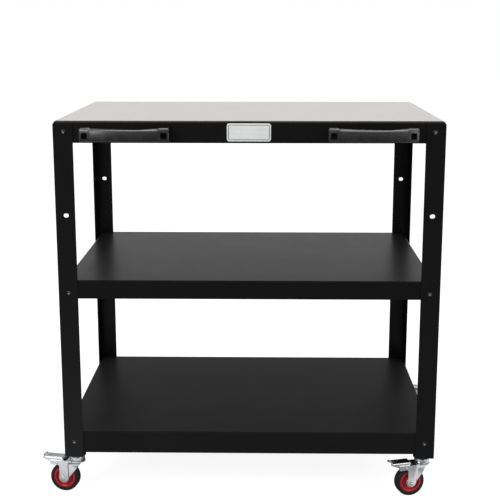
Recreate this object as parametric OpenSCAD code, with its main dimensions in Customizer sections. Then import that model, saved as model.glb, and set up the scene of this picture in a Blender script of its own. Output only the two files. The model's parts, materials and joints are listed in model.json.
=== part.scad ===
// Three-tier rolling outdoor prep cart.
// A folded black top pan under a thin stainless sheet, four angle legs, two folded shelves,
// two moulded pull handles, a blank nameplate and four braked swivel casters.
// Millimetres, +Z up. The origin is on the floor, below the centre of the whole cart.
// +X runs to the cart's right, and the front with the handles faces -Y.

/* [Cart] */
// Width over the legs
cart_w = 900; // [700:10:1200]
// Depth over the legs
cart_d = 600; // [450:10:800]
// Height of the working surface above the floor
cart_h = 918; // [860:1:1000]

/* [Top] */
// Height of the folded top pan
pan_h = 50; // [44:1:70]
// Steel thickness of the top pan
pan_t = 1.2; // [1:0.1:2]
// Bend radius along the top edges of the pan
pan_bend = 5; // [3:0.5:8]
// Thickness of the stainless sheet
sheet_t = 1; // [0.8:0.1:2]
// Bare border of black pan around the stainless sheet
sheet_border = 4; // [3:0.5:10]
// Height of the stiffening channels under the top
top_rib_h = 25; // [15:1:35]

/* [Legs] */
// Width of each leg flange
leg_w = 46; // [42:1:60]
// Steel thickness of the legs
leg_t = 2; // [1.5:0.1:3]
// Distance of every screw and spare hole from the leg's outer corner
hole_inset = 25; // [22:0.5:28]
// Height of the spare slots above the floor
slot_z = 698; // [600:1:760]
// End to end length of a spare slot
slot_len = 12; // [10:0.5:16]
// Width of a spare slot
slot_w = 9.5; // [6:0.5:9.5]

/* [Shelves] */
// Steel thickness of the shelves
shelf_t = 1.2; // [1:0.1:2]
// Bend radius along the shelf edges
shelf_bend = 3; // [2.5:0.5:5]
// Width of the folded lip under the shelf flanges
shelf_lip = 10; // [6:1:11]
// Height of the middle shelf surface above the floor
mid_z = 542.5; // [450:0.5:620]
// Flange height of the middle shelf
mid_flange = 44.5; // [36:0.5:60]
// Gap between the leg's outer side face and the middle shelf
mid_gap = 15; // [4:1:16]
// Height of the bottom shelf surface above the floor
low_z = 164.5; // [164.5:0.5:220]
// Flange height of the bottom shelf
low_flange = 54; // [40:0.5:54]
// Gap between the leg's outer side face and the bottom shelf
low_gap = 4; // [3:0.5:4]
// Height of the stiffening channels under the shelves
shelf_rib_h = 20; // [12:1:30]

/* [Handles] */
// Overall length of a handle
handle_len = 204; // [160:1:240]
// Distance from a leg's outer side face to the near end of its handle
handle_inset = 65.5; // [61:0.5:100]
// How far the middle of the grip stands out from the legs' front faces
handle_out = 42; // [38:1:60]
// How far the handle's ends stand out
handle_end_out = 30; // [26:1:36]
// Height of the handle
handle_h = 27; // [22:1:32]
// Depth of the gap between the working surface and the handle's top
handle_drop = 18; // [12:1:20]
// Width of each handle foot
foot_w = 24; // [20:1:30]
// Thickness of the grip bar from front to back
grip_t = 12; // [9:0.5:13]

/* [Nameplate] */
// Width of the blank nameplate
plate_w = 101; // [60:1:130]
// Height of the blank nameplate
plate_h = 41; // [25:1:42]
// Thickness of the nameplate's base
plate_t = 1; // [0.6:0.1:2]

/* [Casters] */
// Height from the floor to the underside of the legs
caster_h = 100; // [100:1:104]
// Wheel radius over the tyre
wheel_r = 36; // [30:0.5:36.5]
// Width of the tyre
tyre_w = 22; // [18:0.5:24]
// Radius at which the tyre meets the hub
rim_r = 28.5; // [24:0.5:29]
// Horizontal distance from the swivel axis to the axle
trail = 32; // [28:0.5:34]
// Distance of the swivel axis from the legs' outer faces
swivel_inset = 26; // [25:0.5:26.5]
// Steel thickness of the fork
fork_t = 2.5; // [2:0.1:3]
// Clear width inside the fork
fork_gap = 30; // [30:0.5:34]
// Radius of the axle bolt
axle_r = 4; // [3:0.5:4.5]
// Radius of the threaded stem
stem_r = 6; // [5:0.5:6]
// Length of the brake pedal beyond the swivel axis
pedal_reach = 85; // [78:1:90]
// Width of the brake pedal
pedal_w = 28; // [20:0.5:28]

/* [Fits] */
// Radial clearance of a turning shaft in its bore
run_fit = 0.05; // [0.02:0.01:0.1]
// Radial clearance of a fixed screw in its hole
screw_fit = 0.2; // [0.1:0.05:0.4]
// Gap left between faces that slide past each other
slide_gap = 0.3; // [0.2:0.05:0.5]

/* [Hidden] */
$fn = 64;
// How far a cutting shape runs past the face it cuts, and how deep two joined outlines overlap
cut = 1;
weld = 0.01;

// Screws and nuts
screw_r = 3;
screw_head_r = 5.8;
screw_head_h = 2.5;
nut_r = 5.6;
nut_h = 4;
thread_out = 1.5;
handle_screw_r = 2.5;
handle_head_r = 4.4;
handle_head_h = 3;
handle_nut_r = 4.8;
stem_nut_r = 11;
stem_nut_h = 8;
stem_out = 5;

// Folded sheet parts
pan_corner = 3;
sheet_corner = 4;
leg_bend = 0.5;
leg_top_gap = 1;
rib_w = 40;
rib_foot = 14;
mid_screw_up = 13.8;
low_screw_up = 27;
foot_plate_t = 3;
foot_plate_gap = 1;
foot_plate_chamfer = 15;

// Handles and nameplate
pocket = 11;
foot_base = 7;
handle_edge = 3;
plate_corner = 6;
plate_rim = 2;
plate_rim_inset = 1.5;
plate_rim_h = 0.6;

// The frame's derived places
front_y = -(cart_d + screw_head_h - handle_out) / 2;
mid_y = front_y + cart_d / 2;
pan_w = cart_w - 2 * leg_t;
pan_d = cart_d - 2 * leg_t;
pan_top = cart_h - sheet_t;
pan_bottom = pan_top - pan_h;
leg_top = pan_top - pan_bend - leg_top_gap;
sheet_w = pan_w - 2 * sheet_border;
sheet_d = pan_d - 2 * sheet_border;
apron_screw_z = pan_bottom + pan_h / 2;
mid_screw_z = mid_z - mid_flange + mid_screw_up;
low_screw_z = low_z - low_flange + low_screw_up;
handle_x = cart_w / 2 - handle_inset - handle_len / 2;
handle_z = cart_h - handle_drop - handle_h / 2;
plate_z = pan_top - pan_bend - plate_h / 2;

// Caster stem, from the leg down to the fork's crown
collar_h = 6;
collar_r = 21.7;
collar_z = caster_h - collar_h;
race_h = 12;
race_r = 18.5;
kingpin_r = 5;
kingpin_head_r = 8;
kingpin_head_h = 2.5;
crown_top = collar_z - race_h;
crown_t = 3;
crown_z = crown_top - crown_t;

// Fork: x is counted from the swivel axis, along the trail
fork_half = fork_gap / 2 + fork_t;
fork_front = -13;
fork_shoulder = 20;
fork_nose_w = 17;
fork_end_r = 9.5;
fork_corner = 5;
fork_lean = 38;
arm_h = 11;
crown_back = 24;

// Wheel
bush_r = 7;
guard_r = 12.5;
guard_t = 1.2;
guard_edge = 0.3;
hub_w = fork_gap - 2 * guard_t - 4 * slide_gap;
rim_w = tyre_w - 2;
tyre_edge = 3.5;
axle_head_r = 5.4;
axle_nut_r = 6.8;
axle_head_h = 2;

// Brake: the pin between the fork's arms, the tray above it and the shoe below it
pin_behind = 15;
pin_below = 6;
pin_r = 2;
pin_s = trail + pin_behind;
pin_z = crown_top - pin_below;
fork_back = trail + 33;
pedal_rise = 13;
pedal_top = pin_z + pedal_rise;
pedal_t = 1.8;
pedal_edge = 2.5;
pedal_front = 34;
pedal_skirt = 4;
pedal_tip = 8;
pedal_lift = 3;
shoe_w = 10;
shoe_up = 2;
shoe_down = 10;
shoe_gap = 0.4;
brake_rest_gap = 2.4;
brake_angle = 22;

// Side (-1 left, 1 right), row (-1 front, 1 back) and trail direction of each caster
FL = [-1, -1, 170];
FR = [1, -1, 196];
BL = [-1, 1, 344];
BR = [1, 1, 350];
CORNERS = [FL, FR, BL, BR];

// Outlines

// A rectangle with round corners, centred
module round_rect(w, h, r) {
    square([w - 2 * r, h], center = true);
    square([w, h - 2 * r], center = true);
    for (x = [-1, 1], y = [-1, 1])
        translate([x * (w / 2 - r), y * (h / 2 - r)]) circle(r);
}

// An upright rectangle from z = -h to 0 whose two top corners are round
module round_top(w, h, r) {
    translate([-w / 2, -h]) square([w, h - r]);
    translate([-w / 2 + r, -r - weld]) square([w - 2 * r, r + weld]);
    for (x = [-1, 1])
        translate([x * (w / 2 - r), -r]) circle(r);
}

// A slot along X, centred
module slot(len, w) {
    square([len - w, w], center = true);
    for (x = [-1, 1]) translate([x * (len - w) / 2, 0]) circle(d = w);
}

// Blocks

// A block below z = 0 with rounded top edges and slightly round upright corners
module bent_block(w, d, h, bend, corner) {
    intersection() {
        rotate([90, 0, 0]) linear_extrude(d, center = true) round_top(w, h, bend);
        rotate([90, 0, 90]) linear_extrude(w, center = true) round_top(d, h, bend);
        translate([0, 0, -h]) linear_extrude(h) round_rect(w, d, corner);
    }
}

// A folded pan, open below, with a lip turned inwards under its flanges
module folded_pan(w, d, h, t, bend, lip) {
    difference() {
        bent_block(w, d, h, bend, pan_corner);
        intersection() {
            translate([0, 0, -t]) bent_block(w - 2 * t, d - 2 * t, h - 2 * t, bend - t, pan_corner - t);
            translate([-w, -d, -h]) cube([2 * w, 2 * d, h]);
        }
        translate([lip - w / 2, lip - d / 2, -h - cut]) cube([w - 2 * lip, d - 2 * lip, h / 2]);
    }
}

// An upside-down channel along X, whose two feet sit against z = 0 above it
module hat_channel(len, w, h, t, foot) {
    rotate([90, 0, 90]) linear_extrude(len, center = true) {
        difference() {
            translate([-w / 2, -h]) square([w, h]);
            translate([-w / 2 + t, -h + t]) square([w - 2 * t, h]);
        }
        for (x = [-1, 1])
            translate([x * (w / 2 + foot / 2 - t / 2), -t / 2]) square([foot + t, t], center = true);
    }
}

// A hexagonal nut along +Z from z = 0, with its bore
module hex_nut(r, h, bore_r) {
    difference() {
        cylinder(r = r, h = h, $fn = 6);
        translate([0, 0, -cut]) cylinder(r = bore_r, h = h + 2 * cut);
    }
}

// A low domed screw along +Z: the head is below z = 0 and the shank above it
module pan_screw(shank_r, len, head_r, head_h) {
    cylinder(r = shank_r, h = len);
    rotate_extrude() polygon([[0, 0], [head_r, 0], [head_r, -head_h * 0.35],
        [head_r * 0.86, -head_h * 0.75], [head_r * 0.55, -head_h], [0, -head_h]]);
}

// Places children at a corner of the cart: their outer faces are x = 0 and y = 0 there,
// and the inside of the cart is towards +X and +Y
module at_corner(c) {
    translate([c[0] * cart_w / 2, mid_y + c[1] * cart_d / 2, 0])
        mirror([c[0] > 0 ? 1 : 0, 0, 0])
        mirror([0, c[1] > 0 ? 1 : 0, 0])
        children();
}

// Places children that point along +Z so that they enter a leg's front or back face
module in_face(z) {
    translate([hole_inset, 0, z]) rotate([-90, 0, 0]) children();
}

// The same for a leg's side face
module in_side(z) {
    translate([0, hole_inset, z]) rotate([0, 90, 0]) children();
}

// Places children on a caster's swivel axis, with +X along its trail
module at_swivel(c) {
    translate([c[0] * (cart_w / 2 - swivel_inset), mid_y + c[1] * (cart_d / 2 - swivel_inset), 0])
        rotate([0, 0, c[2]])
        children();
}

// Frame

module worktop_sheet() {
    color("silver")
        translate([0, mid_y, pan_top]) linear_extrude(sheet_t)
            round_rect(sheet_w, sheet_d, sheet_corner);
}

module worktop_pan() {
    color("dimgray") difference() {
        translate([0, mid_y, pan_top]) folded_pan(pan_w, pan_d, pan_h, pan_t, pan_bend, shelf_lip);
        for (c = CORNERS) at_corner(c) {
            in_face(apron_screw_z) cylinder(r = screw_r + screw_fit, h = 2 * leg_t + pan_t);
            in_side(apron_screw_z) cylinder(r = screw_r + screw_fit, h = 2 * leg_t + pan_t);
        }
        for (x = [-1, 1]) at_handle(x) handle_axes()
            cylinder(r = handle_screw_r + screw_fit, h = foot_base + 2 * pan_t);
    }
}

module worktop_ribs() {
    rib_len = pan_w - 2 * (pan_bend + slide_gap);
    color("gray") for (y = [-1, 1])
        translate([0, mid_y + y * cart_d / 4, pan_top - pan_t])
            hat_channel(rib_len, rib_w, top_rib_h, pan_t, rib_foot);
}

module leg(c) {
    len = leg_top - caster_h;
    bend = leg_t + leg_bend;
    color("dimgray") at_corner(c) difference() {
        translate([0, 0, caster_h]) linear_extrude(len) difference() {
            union() {
                translate([bend, 0]) square([leg_w - bend, leg_t]);
                translate([0, bend]) square([leg_t, leg_w - bend]);
                intersection() {
                    translate([bend, bend]) circle(bend);
                    square(bend);
                }
            }
            translate([bend, bend]) circle(bend - leg_t);
        }
        for (z = [apron_screw_z, mid_screw_z, low_screw_z])
            in_face(z) translate([0, 0, -cut]) cylinder(r = screw_r + screw_fit, h = leg_t + 2 * cut);
        in_side(apron_screw_z) translate([0, 0, -cut])
            cylinder(r = screw_r + screw_fit, h = leg_t + 2 * cut);
        translate([hole_inset, leg_t + cut, slot_z]) rotate([90, 0, 0])
            linear_extrude(leg_t + 2 * cut) slot(slot_len, slot_w);
        translate([-cut, hole_inset, slot_z]) rotate([90, 0, 90])
            linear_extrude(leg_t + 2 * cut) slot(slot_len, slot_w);
    }
}

module shelf(z, gap, flange, screw_z) {
    color("dimgray") difference() {
        translate([0, mid_y, z])
            folded_pan(cart_w - 2 * gap, pan_d, flange, shelf_t, shelf_bend, shelf_lip);
        for (c = CORNERS) at_corner(c)
            in_face(screw_z) cylinder(r = screw_r + screw_fit, h = 2 * leg_t + shelf_t);
    }
}

module shelf_rib(z, gap) {
    rib_len = cart_w - 2 * (gap + shelf_bend + slide_gap);
    color("gray") translate([0, mid_y, z - shelf_t])
        hat_channel(rib_len, rib_w, shelf_rib_h, shelf_t, rib_foot);
}

// Corner plate at the bottom of a leg, which carries the caster's stem
module foot_plate(c) {
    reach = leg_w - foot_plate_gap;
    side = reach - foot_plate_chamfer;
    near = leg_t + leg_bend;
    color("dimgray") at_corner(c) difference() {
        translate([0, 0, caster_h]) linear_extrude(foot_plate_t)
            polygon([[near, leg_t], [reach, leg_t], [reach, side], [side, reach], [leg_t, reach],
                [leg_t, near]]);
        translate([swivel_inset, swivel_inset, caster_h - cut])
            cylinder(r = stem_r + screw_fit, h = foot_plate_t + 2 * cut);
    }
}

module leg_screws() {
    len = leg_t + shelf_t + nut_h + thread_out;
    color("black") for (c = CORNERS) at_corner(c) {
        for (z = [apron_screw_z, mid_screw_z, low_screw_z])
            in_face(z) pan_screw(screw_r, len, screw_head_r, screw_head_h);
        in_side(apron_screw_z) pan_screw(screw_r, len, screw_head_r, screw_head_h);
    }
}

module leg_nuts() {
    color("silver") for (c = CORNERS) at_corner(c) {
        in_face(apron_screw_z) translate([0, 0, leg_t + pan_t]) hex_nut(nut_r, nut_h, screw_r);
        in_side(apron_screw_z) translate([0, 0, leg_t + pan_t]) hex_nut(nut_r, nut_h, screw_r);
        for (z = [mid_screw_z, low_screw_z])
            in_face(z) translate([0, 0, leg_t + shelf_t]) hex_nut(nut_r, nut_h, screw_r);
    }
}

module stem_nuts() {
    color("silver") for (c = CORNERS) at_swivel(c)
        translate([0, 0, caster_h + foot_plate_t]) hex_nut(stem_nut_r, stem_nut_h, stem_r);
}

// Handles

// Places children at a handle: z = 0 is its mid height and y = 0 the apron's face
module at_handle(side) {
    translate([side * handle_x, front_y + leg_t, handle_z]) children();
}

// The two screw axes of a handle, running into the apron from the foot's base
module handle_axes() {
    for (x = [-1, 1])
        translate([x * (handle_len - foot_w) / 2, -foot_base, 0]) rotate([-90, 0, 0]) children();
}

// Circle segment whose chord is the handle's length, less any inset, and whose rise is given
module bow(len, rise, back) {
    r = (len * len / 4 + rise * rise) / (2 * rise);
    intersection() {
        translate([0, r - rise - back]) circle(r, $fn = 180);
        translate([-len / 2, -rise - back]) square([len, rise + weld]);
    }
}

module handle(side) {
    end_out = handle_end_out + leg_t;
    rise = handle_out - handle_end_out;
    gap_len = handle_len - 2 * foot_w;
    out = handle_out + leg_t;
    flat = handle_h / 2 - handle_edge;
    color("black") at_handle(side) difference() {
        intersection() {
            translate([0, 0, -handle_h / 2]) linear_extrude(handle_h) {
                translate([-handle_len / 2, -end_out]) square([handle_len, end_out]);
                bow(handle_len, rise, end_out);
            }
            rotate([90, 0, 90]) linear_extrude(handle_len + 2 * cut, center = true) {
                translate([-out + handle_edge, -handle_h / 2]) square([out - handle_edge, handle_h]);
                translate([-out, -flat]) square([out, 2 * flat]);
                for (z = [-1, 1]) translate([-out + handle_edge, z * flat]) circle(handle_edge);
            }
        }
        translate([0, 0, -handle_h / 2 - cut]) linear_extrude(handle_h + 2 * cut) {
            translate([-gap_len / 2, -end_out + grip_t]) square([gap_len, end_out - grip_t + cut]);
            translate([0, weld]) bow(gap_len, rise * 0.8, end_out - grip_t);
        }
        handle_axes() {
            translate([0, 0, -end_out]) translate([-pocket / 2, -pocket / 2, 0])
                cube([pocket, pocket, end_out]);
            cylinder(r = handle_screw_r + screw_fit, h = foot_base + cut);
        }
    }
}

module handle_screws() {
    len = foot_base + pan_t + nut_h + thread_out;
    color("silver") for (x = [-1, 1]) at_handle(x) handle_axes()
        pan_screw(handle_screw_r, len, handle_head_r, handle_head_h);
}

module handle_nuts() {
    color("silver") for (x = [-1, 1]) at_handle(x) handle_axes()
        translate([0, 0, foot_base + pan_t]) hex_nut(handle_nut_r, nut_h, handle_screw_r);
}

// Blank plate with a raised border
module nameplate() {
    outer = plate_rim_inset;
    inner = plate_rim_inset + plate_rim;
    color("lightgray") translate([0, front_y + leg_t, plate_z]) rotate([90, 0, 0]) {
        linear_extrude(plate_t) round_rect(plate_w, plate_h, plate_corner);
        translate([0, 0, plate_t]) linear_extrude(plate_rim_h) difference() {
            round_rect(plate_w - 2 * outer, plate_h - 2 * outer, plate_corner - outer);
            round_rect(plate_w - 2 * inner, plate_h - 2 * inner, plate_corner - inner);
        }
    }
}

// Casters. In a caster's own frame the swivel axis is Z, the trail runs along +X,
// the floor is z = 0 and the axle lies along Y.

// Threaded stud, ball race housing and the kingpin that the fork turns on
module stem(c) {
    head_z = crown_z - slide_gap;
    head_low = head_z - kingpin_head_h;
    top = caster_h + foot_plate_t + stem_nut_h + stem_out;
    race_z = crown_top + slide_gap;
    neck_r = race_r - 2;
    color("silver") at_swivel(c) rotate_extrude() polygon([[0, head_low], [kingpin_head_r, head_low],
        [kingpin_head_r, head_z], [kingpin_r, head_z], [kingpin_r, race_z], [neck_r, race_z],
        [race_r, race_z + 2], [race_r, collar_z - 2], [neck_r, collar_z], [stem_r, collar_z], [stem_r, top - 1], [stem_r - 1, top], [0, top]]);
}

// Black disc between the leg and the race housing
module collar(c) {
    bore = stem_r + screw_fit;
    edge = 1.5;
    color("black") at_swivel(c) rotate_extrude() polygon([[bore, collar_z], [collar_r - edge, collar_z],
        [collar_r, collar_z + edge], [collar_r, caster_h], [bore, caster_h]]);
}

// Outline of the fork seen from its side: x is along the trail and y is the height
module fork_side() {
    back = trail + fork_end_r;
    arm_z = crown_top - arm_h;
    lip = 4;
    difference() {
        union() {
            polygon([[fork_front, crown_top], [fork_back, crown_top], [fork_back, arm_z],
                [back + fork_corner, arm_z], [back, arm_z - fork_corner], [back, wheel_r],
                [trail - fork_end_r * cos(fork_lean), wheel_r - fork_end_r * sin(fork_lean)],
                [fork_front, crown_top - lip]]);
            translate([trail, wheel_r]) circle(fork_end_r);
            translate([back, arm_z - fork_corner]) square(fork_corner);
        }
        translate([back + fork_corner, arm_z - fork_corner]) circle(fork_corner);
    }
}

// Outline of the fork from above, grown by a distance
module fork_plan(grow) {
    half = fork_gap / 2 + grow;
    tip = fork_nose_w / 2 + grow;
    polygon([[fork_front - cut, -tip], [fork_shoulder, -half], [fork_back + cut, -half],
        [fork_back + cut, half], [fork_shoulder, half], [fork_front - cut, tip]]);
}

// Turns what it holds onto a caster's axle line, before the caster is placed
module at_axle() {
    translate([trail, 0, wheel_r]) rotate([90, 0, 0]) children();
}

module fork(c) {
    crown_r = race_r + 1;
    color("lightgray") at_swivel(c) difference() {
        union() {
            intersection() {
                rotate([90, 0, 0]) linear_extrude(4 * fork_half, center = true) fork_side();
                difference() {
                    linear_extrude(crown_top) fork_plan(fork_t);
                    translate([0, 0, -cut]) linear_extrude(crown_top + 2 * cut) fork_plan(0);
                }
            }
            intersection() {
                translate([0, 0, crown_z]) linear_extrude(crown_t) {
                    fork_plan(fork_t / 2);
                    circle(crown_r);
                }
                translate([-crown_r, -fork_half, 0])
                    cube([crown_back + crown_r, 2 * fork_half, crown_top]);
            }
        }
        translate([0, 0, crown_z - cut])
            cylinder(r = kingpin_r + run_fit, h = crown_t + 2 * cut);
        at_axle() cylinder(r = axle_r + screw_fit / 2, h = 4 * fork_half, center = true);
        translate([pin_s, 0, pin_z]) rotate([90, 0, 0])
            cylinder(r = pin_r, h = 4 * fork_half, center = true);
    }
}

// Axle bolt with a low round head, and its nut
module axle(c) {
    color("silver") at_swivel(c) translate([trail, 0, wheel_r]) rotate([0, 0, 180]) {
        translate([0, -fork_half, 0]) rotate([-90, 0, 0])
            pan_screw(axle_r, 2 * fork_half + nut_h + thread_out, axle_head_r, axle_head_h);
        translate([0, fork_half, 0]) rotate([-90, 0, 0]) hex_nut(axle_nut_r, nut_h, axle_r);
    }
}

// Steel bush clamped in the fork, with a guard disc at each end of the hub
module bearing(c) {
    half = fork_gap / 2;
    bore = axle_r + screw_fit / 2;
    color("silver") at_swivel(c) at_axle() rotate_extrude()
        polygon([[bore, -half], [guard_r, guard_edge - half], [guard_r, guard_t - half],
            [bush_r, guard_t - half], [bush_r, half - guard_t], [guard_r, half - guard_t],
            [guard_r, half - guard_edge], [bore, half]]);
}

module hub(c) {
    boss_r = 11;
    boss = hub_w / 2;
    rim = rim_w / 2;
    bore = bush_r + run_fit;
    color("firebrick") at_swivel(c) at_axle() rotate_extrude()
        polygon([[bore, -boss], [boss_r, -boss], [boss_r + 3, -rim + 5], [rim_r - 8, -rim + 4],
            [rim_r - 4, -rim], [rim_r, -rim], [rim_r, rim], [rim_r - 4, rim], [rim_r - 8, rim - 4],
            [boss_r + 3, rim - 5], [boss_r, boss], [bore, boss]]);
}

module tyre(c) {
    half = tyre_w / 2;
    thick = wheel_r - rim_r;
    flat = half - tyre_edge;
    color("black") at_swivel(c) at_axle() rotate_extrude() {
        translate([rim_r, -half]) square([thick - tyre_edge, tyre_w]);
        translate([rim_r, -flat]) square([thick, 2 * flat]);
        for (z = [-1, 1]) translate([wheel_r - tyre_edge, z * flat]) circle(tyre_edge);
    }
}

// Brake pedal: a pressed tray whose side webs hang on the pin and carry the brake shoe
module pedal(c) {
    inner_w = pedal_w - 2 * pedal_t;
    color("silver") at_swivel(c) difference() {
        union() {
            intersection() {
                translate([0, 0, pedal_top]) rotate([90, 0, 90])
                    linear_extrude(2 * pedal_reach) round_top(pedal_w, pedal_top, pedal_edge);
                rotate([90, 0, 0]) linear_extrude(2 * pedal_w, center = true) pedal_outline();
            }
            rotate([90, 0, 0]) linear_extrude(pedal_w - 2 * pedal_edge, center = true) pedal_lip();
        }
        intersection() {
            translate([0, 0, pedal_top - pedal_t]) rotate([90, 0, 90])
                linear_extrude(2 * pedal_reach) round_top(inner_w, pedal_top, pedal_edge - pedal_t);
            rotate([90, 0, 0]) linear_extrude(2 * pedal_w, center = true) difference() {
                square([pedal_reach + cut, pedal_top]);
                brake_shoe();
            }
        }
        at_axle() cylinder(r = wheel_r + brake_rest_gap, h = 2 * pedal_w, center = true);
        // Where the tyre comes to lie against the pressed pedal
        translate([pin_s, 0, pin_z]) rotate([0, -brake_angle, 0]) translate([-pin_s, 0, -pin_z])
            at_axle() cylinder(r = wheel_r + shoe_gap, h = 2 * pedal_w, center = true);
        translate([pin_s, 0, pin_z]) rotate([90, 0, 0])
            cylinder(r = pin_r + run_fit, h = 2 * pedal_w, center = true);
    }
}

// Side outline of the pedal's webs and plate
module pedal_outline() {
    shoe_z = pin_z - shoe_down;
    polygon([[pedal_front, pedal_top], [pedal_reach, pedal_top], [pedal_reach, pedal_top - pedal_skirt],
        [pin_s + shoe_w + 7, pin_z], [pin_s + shoe_w + 1, shoe_z], [pin_s + 1, shoe_z],
        [pin_s + 1, pin_z - 2 * pin_r], [pin_s - 2 * pin_r, pin_z - 2 * pin_r],
        [pin_s - 4 * pin_r, pin_z + 2 * pin_r], [pedal_front, pedal_top - pedal_skirt]]);
}

// Raised tip that keeps a shoe from slipping off
module pedal_lip() {
    polygon([[pedal_reach - pedal_tip, pedal_top], [pedal_reach, pedal_top + pedal_lift],
        [pedal_reach, pedal_top - pedal_t / 2], [pedal_reach - pedal_tip, pedal_top - pedal_t / 2]]);
}

// Block between the webs that presses on the tyre
module brake_shoe() {
    translate([pin_s + 1, pin_z - shoe_down]) square([shoe_w, shoe_down - shoe_up]);
}

module pedal_pin(c) {
    color("silver") at_swivel(c) translate([pin_s, 0, pin_z]) rotate([90, 0, 0])
        cylinder(r = pin_r, h = 2 * fork_half + 1, center = true);
}

worktop_sheet();
worktop_pan();
worktop_ribs();
leg(FL);  // leg_front_left
leg(FR);  // leg_front_right
leg(BL);  // leg_back_left
leg(BR);  // leg_back_right
shelf(mid_z, mid_gap, mid_flange, mid_screw_z);  // mid_shelf
shelf_rib(mid_z, mid_gap);  // mid_shelf_rib
shelf(low_z, low_gap, low_flange, low_screw_z);  // bottom_shelf
shelf_rib(low_z, low_gap);  // bottom_shelf_rib
foot_plate(FL);  // foot_plate_front_left
foot_plate(FR);  // foot_plate_front_right
foot_plate(BL);  // foot_plate_back_left
foot_plate(BR);  // foot_plate_back_right
leg_screws();
leg_nuts();
stem_nuts();
handle(-1);  // handle_left
handle(1);  // handle_right
handle_screws();
handle_nuts();
nameplate();
stem(FL);  // stem_front_left
stem(FR);  // stem_front_right
stem(BL);  // stem_back_left
stem(BR);  // stem_back_right
collar(FL);  // collar_front_left
collar(FR);  // collar_front_right
collar(BL);  // collar_back_left
collar(BR);  // collar_back_right
fork(FL);  // fork_front_left
fork(FR);  // fork_front_right
fork(BL);  // fork_back_left
fork(BR);  // fork_back_right
axle(FL);  // axle_front_left
axle(FR);  // axle_front_right
axle(BL);  // axle_back_left
axle(BR);  // axle_back_right
bearing(FL);  // bearing_front_left
bearing(FR);  // bearing_front_right
bearing(BL);  // bearing_back_left
bearing(BR);  // bearing_back_right
hub(FL);  // hub_front_left
hub(FR);  // hub_front_right
hub(BL);  // hub_back_left
hub(BR);  // hub_back_right
tyre(FL);  // tyre_front_left
tyre(FR);  // tyre_front_right
tyre(BL);  // tyre_back_left
tyre(BR);  // tyre_back_right
pedal(FL);  // pedal_front_left
pedal(FR);  // pedal_front_right
pedal(BL);  // pedal_back_left
pedal(BR);  // pedal_back_right
pedal_pin(FL);  // pedal_pin_front_left
pedal_pin(FR);  // pedal_pin_front_right
pedal_pin(BL);  // pedal_pin_back_left
pedal_pin(BR);  // pedal_pin_back_right
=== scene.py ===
# %% [markdown]
# # A rolling prep cart
#
# The cart is a steel frame on four casters: a thin stainless sheet on a folded black pan, angle
# legs, two folded shelves, two moulded pull handles and a blank nameplate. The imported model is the
# fixed frame here. It already has every part at its true size and place, in metres, with the
# origin on the floor. This script gives each part its finish, and replaces the ones whose small
# forms matter up close: the worktop sheet, the handles, the screws, the nameplate and the casters.

# %% Load the frame
import json
import math

import bmesh
import bpy
from mathutils import Matrix, Vector


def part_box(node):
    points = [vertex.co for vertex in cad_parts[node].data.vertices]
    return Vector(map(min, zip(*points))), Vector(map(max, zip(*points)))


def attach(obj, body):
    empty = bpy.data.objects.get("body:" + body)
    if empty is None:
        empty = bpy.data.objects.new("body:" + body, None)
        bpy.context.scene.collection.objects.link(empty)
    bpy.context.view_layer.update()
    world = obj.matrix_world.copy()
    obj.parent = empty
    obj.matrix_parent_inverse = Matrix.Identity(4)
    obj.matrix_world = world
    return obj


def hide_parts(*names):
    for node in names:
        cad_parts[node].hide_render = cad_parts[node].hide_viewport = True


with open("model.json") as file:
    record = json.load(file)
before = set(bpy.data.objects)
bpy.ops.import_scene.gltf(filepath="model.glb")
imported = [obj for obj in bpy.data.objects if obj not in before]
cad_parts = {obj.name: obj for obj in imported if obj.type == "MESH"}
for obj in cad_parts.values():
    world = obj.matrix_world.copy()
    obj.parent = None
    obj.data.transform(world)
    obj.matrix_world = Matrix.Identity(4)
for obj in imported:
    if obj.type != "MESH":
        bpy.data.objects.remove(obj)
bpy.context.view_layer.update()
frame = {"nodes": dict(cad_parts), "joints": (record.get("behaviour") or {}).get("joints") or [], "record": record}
scene = bpy.context.scene
CORNERS = ["front_left", "front_right", "back_left", "back_right"]
MM = 0.001

# %% [markdown]
# ## Camera
#
# A product photo of furniture is taken from chest height with a long lens, which keeps the legs
# almost upright. The camera could be placed by eye, but the measured edges of the four legs and of
# the shelves fix it to less than half a pixel, so those numbers are used: a 77 mm lens, 2.4 m in
# front of the apron, looking 12 degrees down.

# %% Place the camera
lens = bpy.data.cameras.new("chest_height_lens")
lens.lens = 76.85
lens.sensor_width = 36
lens.clip_end = 60
camera = bpy.data.objects.new("chest_height_camera", lens)
camera.location = (0.04083, -2.7173, 1.14138)
camera.rotation_euler = (math.radians(77.87), 0, math.radians(0.9))
scene.collection.objects.link(camera)
scene.camera = camera
scene.view_settings.view_transform = "Standard"
print("camera at", [round(v, 3) for v in camera.location])

# %% [markdown]
# ## White surroundings
#
# The cart stands on a white sweep in a room that is dark behind the camera. White could come from
# strong lamps, but then every pale part would burn out. Here the lamps stay at a plain level, and
# the Light Path node tells the rays that see the surroundings from the rays that light the cart.
# The lens sees plain white. A mirror sees the sweep, a white ceiling, and between them a dim room,
# dimmest in front, so the upright black faces stay black and each upper bend gets a light line.

# %% Build the world
def combined(tree, operation, first, second):
    """One value made from two, such as their product."""
    node = tree.nodes.new("ShaderNodeMath")
    node.operation = operation
    tree.links.new(first, node.inputs[0])
    tree.links.new(second, node.inputs[1])
    return node.outputs[0]


def rays_of(tree, *kinds):
    """Gives 1 for rays of the named kinds and 0 for all others."""
    path = tree.nodes.new("ShaderNodeLightPath")
    seen = path.outputs[kinds[0]]
    for kind in kinds[1:]:
        seen = combined(tree, "MAXIMUM", seen, path.outputs[kind])
    return seen


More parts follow.
